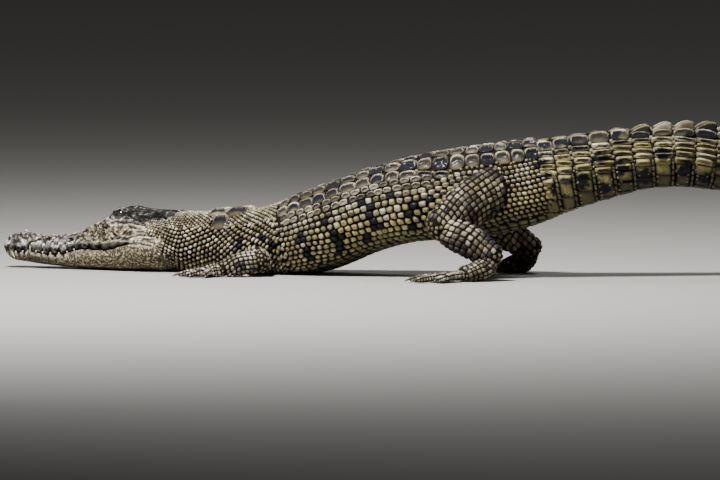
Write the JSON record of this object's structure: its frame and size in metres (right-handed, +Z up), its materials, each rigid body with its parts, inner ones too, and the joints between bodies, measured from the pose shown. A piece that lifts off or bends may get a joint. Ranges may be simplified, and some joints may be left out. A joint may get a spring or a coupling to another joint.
{
  "type": "saltwater crocodile, subadult, still life-size model",
  "caption": "Young saltwater crocodile lying with its chin on the floor, body rising to the hips and tail arching down behind it.",
  "frame": {"origin": "centre of the bounding box on the floor", "axes": "+Z up; -X is the way the animal faces, -Y its left side, which is the side seen"},
  "size_m": [1.614, 0.7132, 0.2557],
  "materials": {
    "hide": "wet scaly hide, cream-yellow with blue-black blotches",
    "head_hide": "grey-beige cracked hide",
    "pale_hide": "smooth cream hide",
    "leg_hide": "scaly hide with dark blotches",
    "eye": "wet amber-brown eye",
    "claw": "dark horn"
  },
  "bodies": {
    "root": {"head": "head_hide", "lower_jaw": "pale_hide", "eye_left": "eye", "eye_right": "eye", "neck": "hide", "trunk": "hide", "tail_1": "hide", "tail_2": "hide", "tail_3": "hide", "tail_4": "hide", "upper_arm_left": "leg_hide", "forearm_left": "leg_hide", "hand_left": "leg_hide", "thigh_left": "leg_hide", "shank_left": "leg_hide", "foot_left": "leg_hide", "hand_left_claw_1": "claw", "hand_left_claw_2": "claw", "hand_left_claw_3": "claw", "foot_left_claw_1": "claw", "foot_left_claw_2": "claw", "foot_left_claw_3": "claw", "upper_arm_right": "leg_hide", "forearm_right": "leg_hide", "hand_right": "leg_hide", "thigh_right": "leg_hide", "shank_right": "leg_hide", "foot_right": "leg_hide", "hand_right_claw_1": "claw", "hand_right_claw_2": "claw", "hand_right_claw_3": "claw", "foot_right_claw_1": "claw", "foot_right_claw_2": "claw", "foot_right_claw_3": "claw"}
  },
  "joints": []
}
